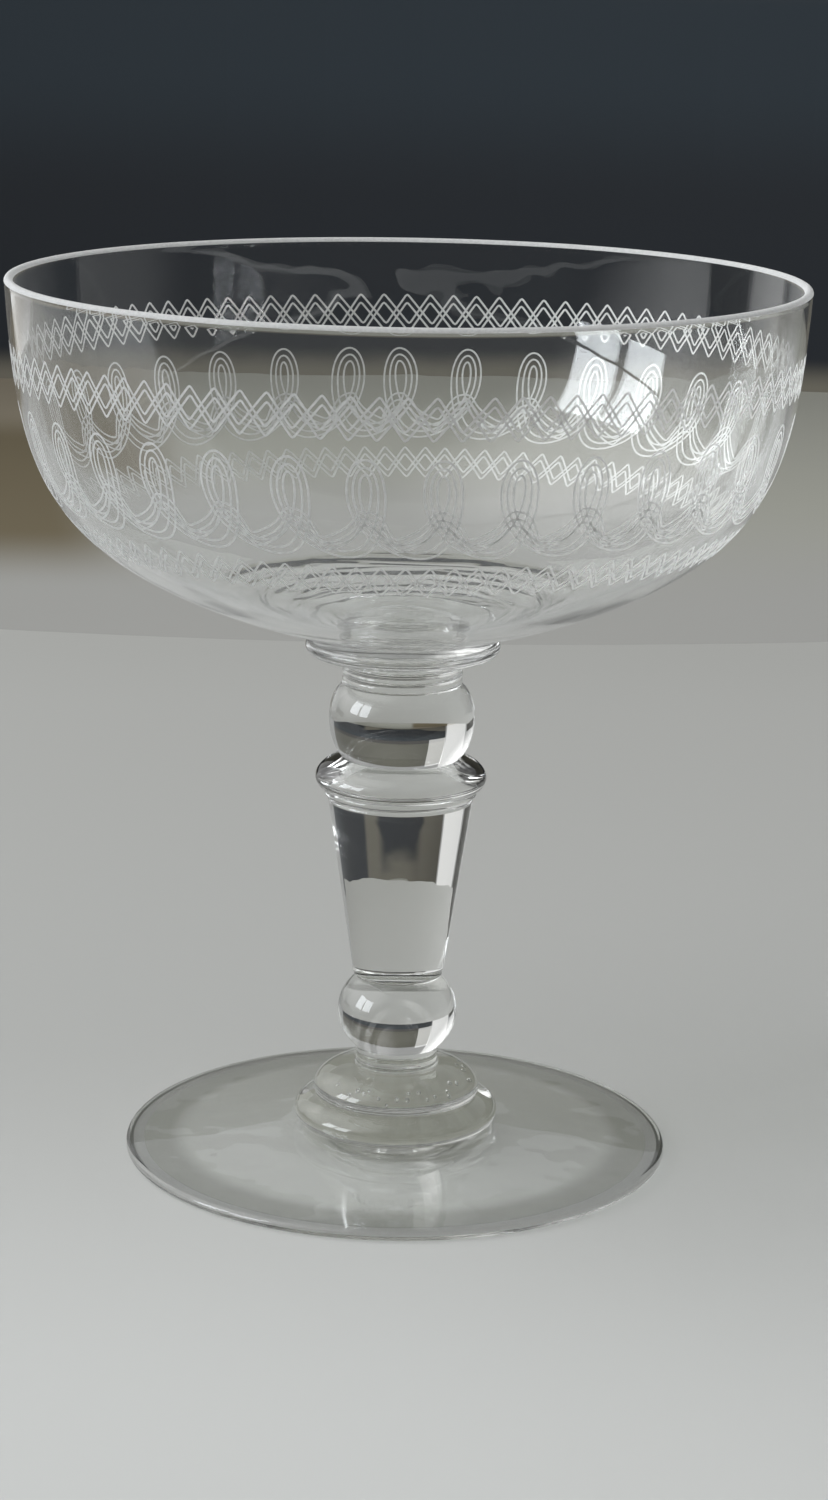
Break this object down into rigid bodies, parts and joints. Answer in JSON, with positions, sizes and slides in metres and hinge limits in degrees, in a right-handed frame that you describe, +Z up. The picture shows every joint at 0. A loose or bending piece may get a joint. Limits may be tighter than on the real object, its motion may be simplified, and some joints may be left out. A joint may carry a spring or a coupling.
{
  "type": "coupe glass",
  "caption": "Stemmed coupe glass: wide shallow bowl with etched bands, built-up stem of knops, ring collar and tapered shank, stepped boss and round foot.",
  "frame": {"origin": "middle of the circle on which the foot stands, at table height", "axes": "+Z up along the axis of the glass; the solids are round about Z, so X and Y are free"},
  "size_m": [0.1, 0.1, 0.1137],
  "materials": {
    "clear_glass": "polished clear glass with a faint grey-green cast; fine etched bands round the bowl and a satin ground rim"
  },
  "bodies": {
    "root": {"bowl": "clear_glass", "bowl_collar": "clear_glass", "upper_neck": "clear_glass", "upper_knop": "clear_glass", "ring_collar": "clear_glass", "tapered_shank": "clear_glass", "lower_knop": "clear_glass", "lower_neck": "clear_glass", "boss_cap": "clear_glass", "boss_base": "clear_glass", "foot": "clear_glass"}
  },
  "joints": []
}
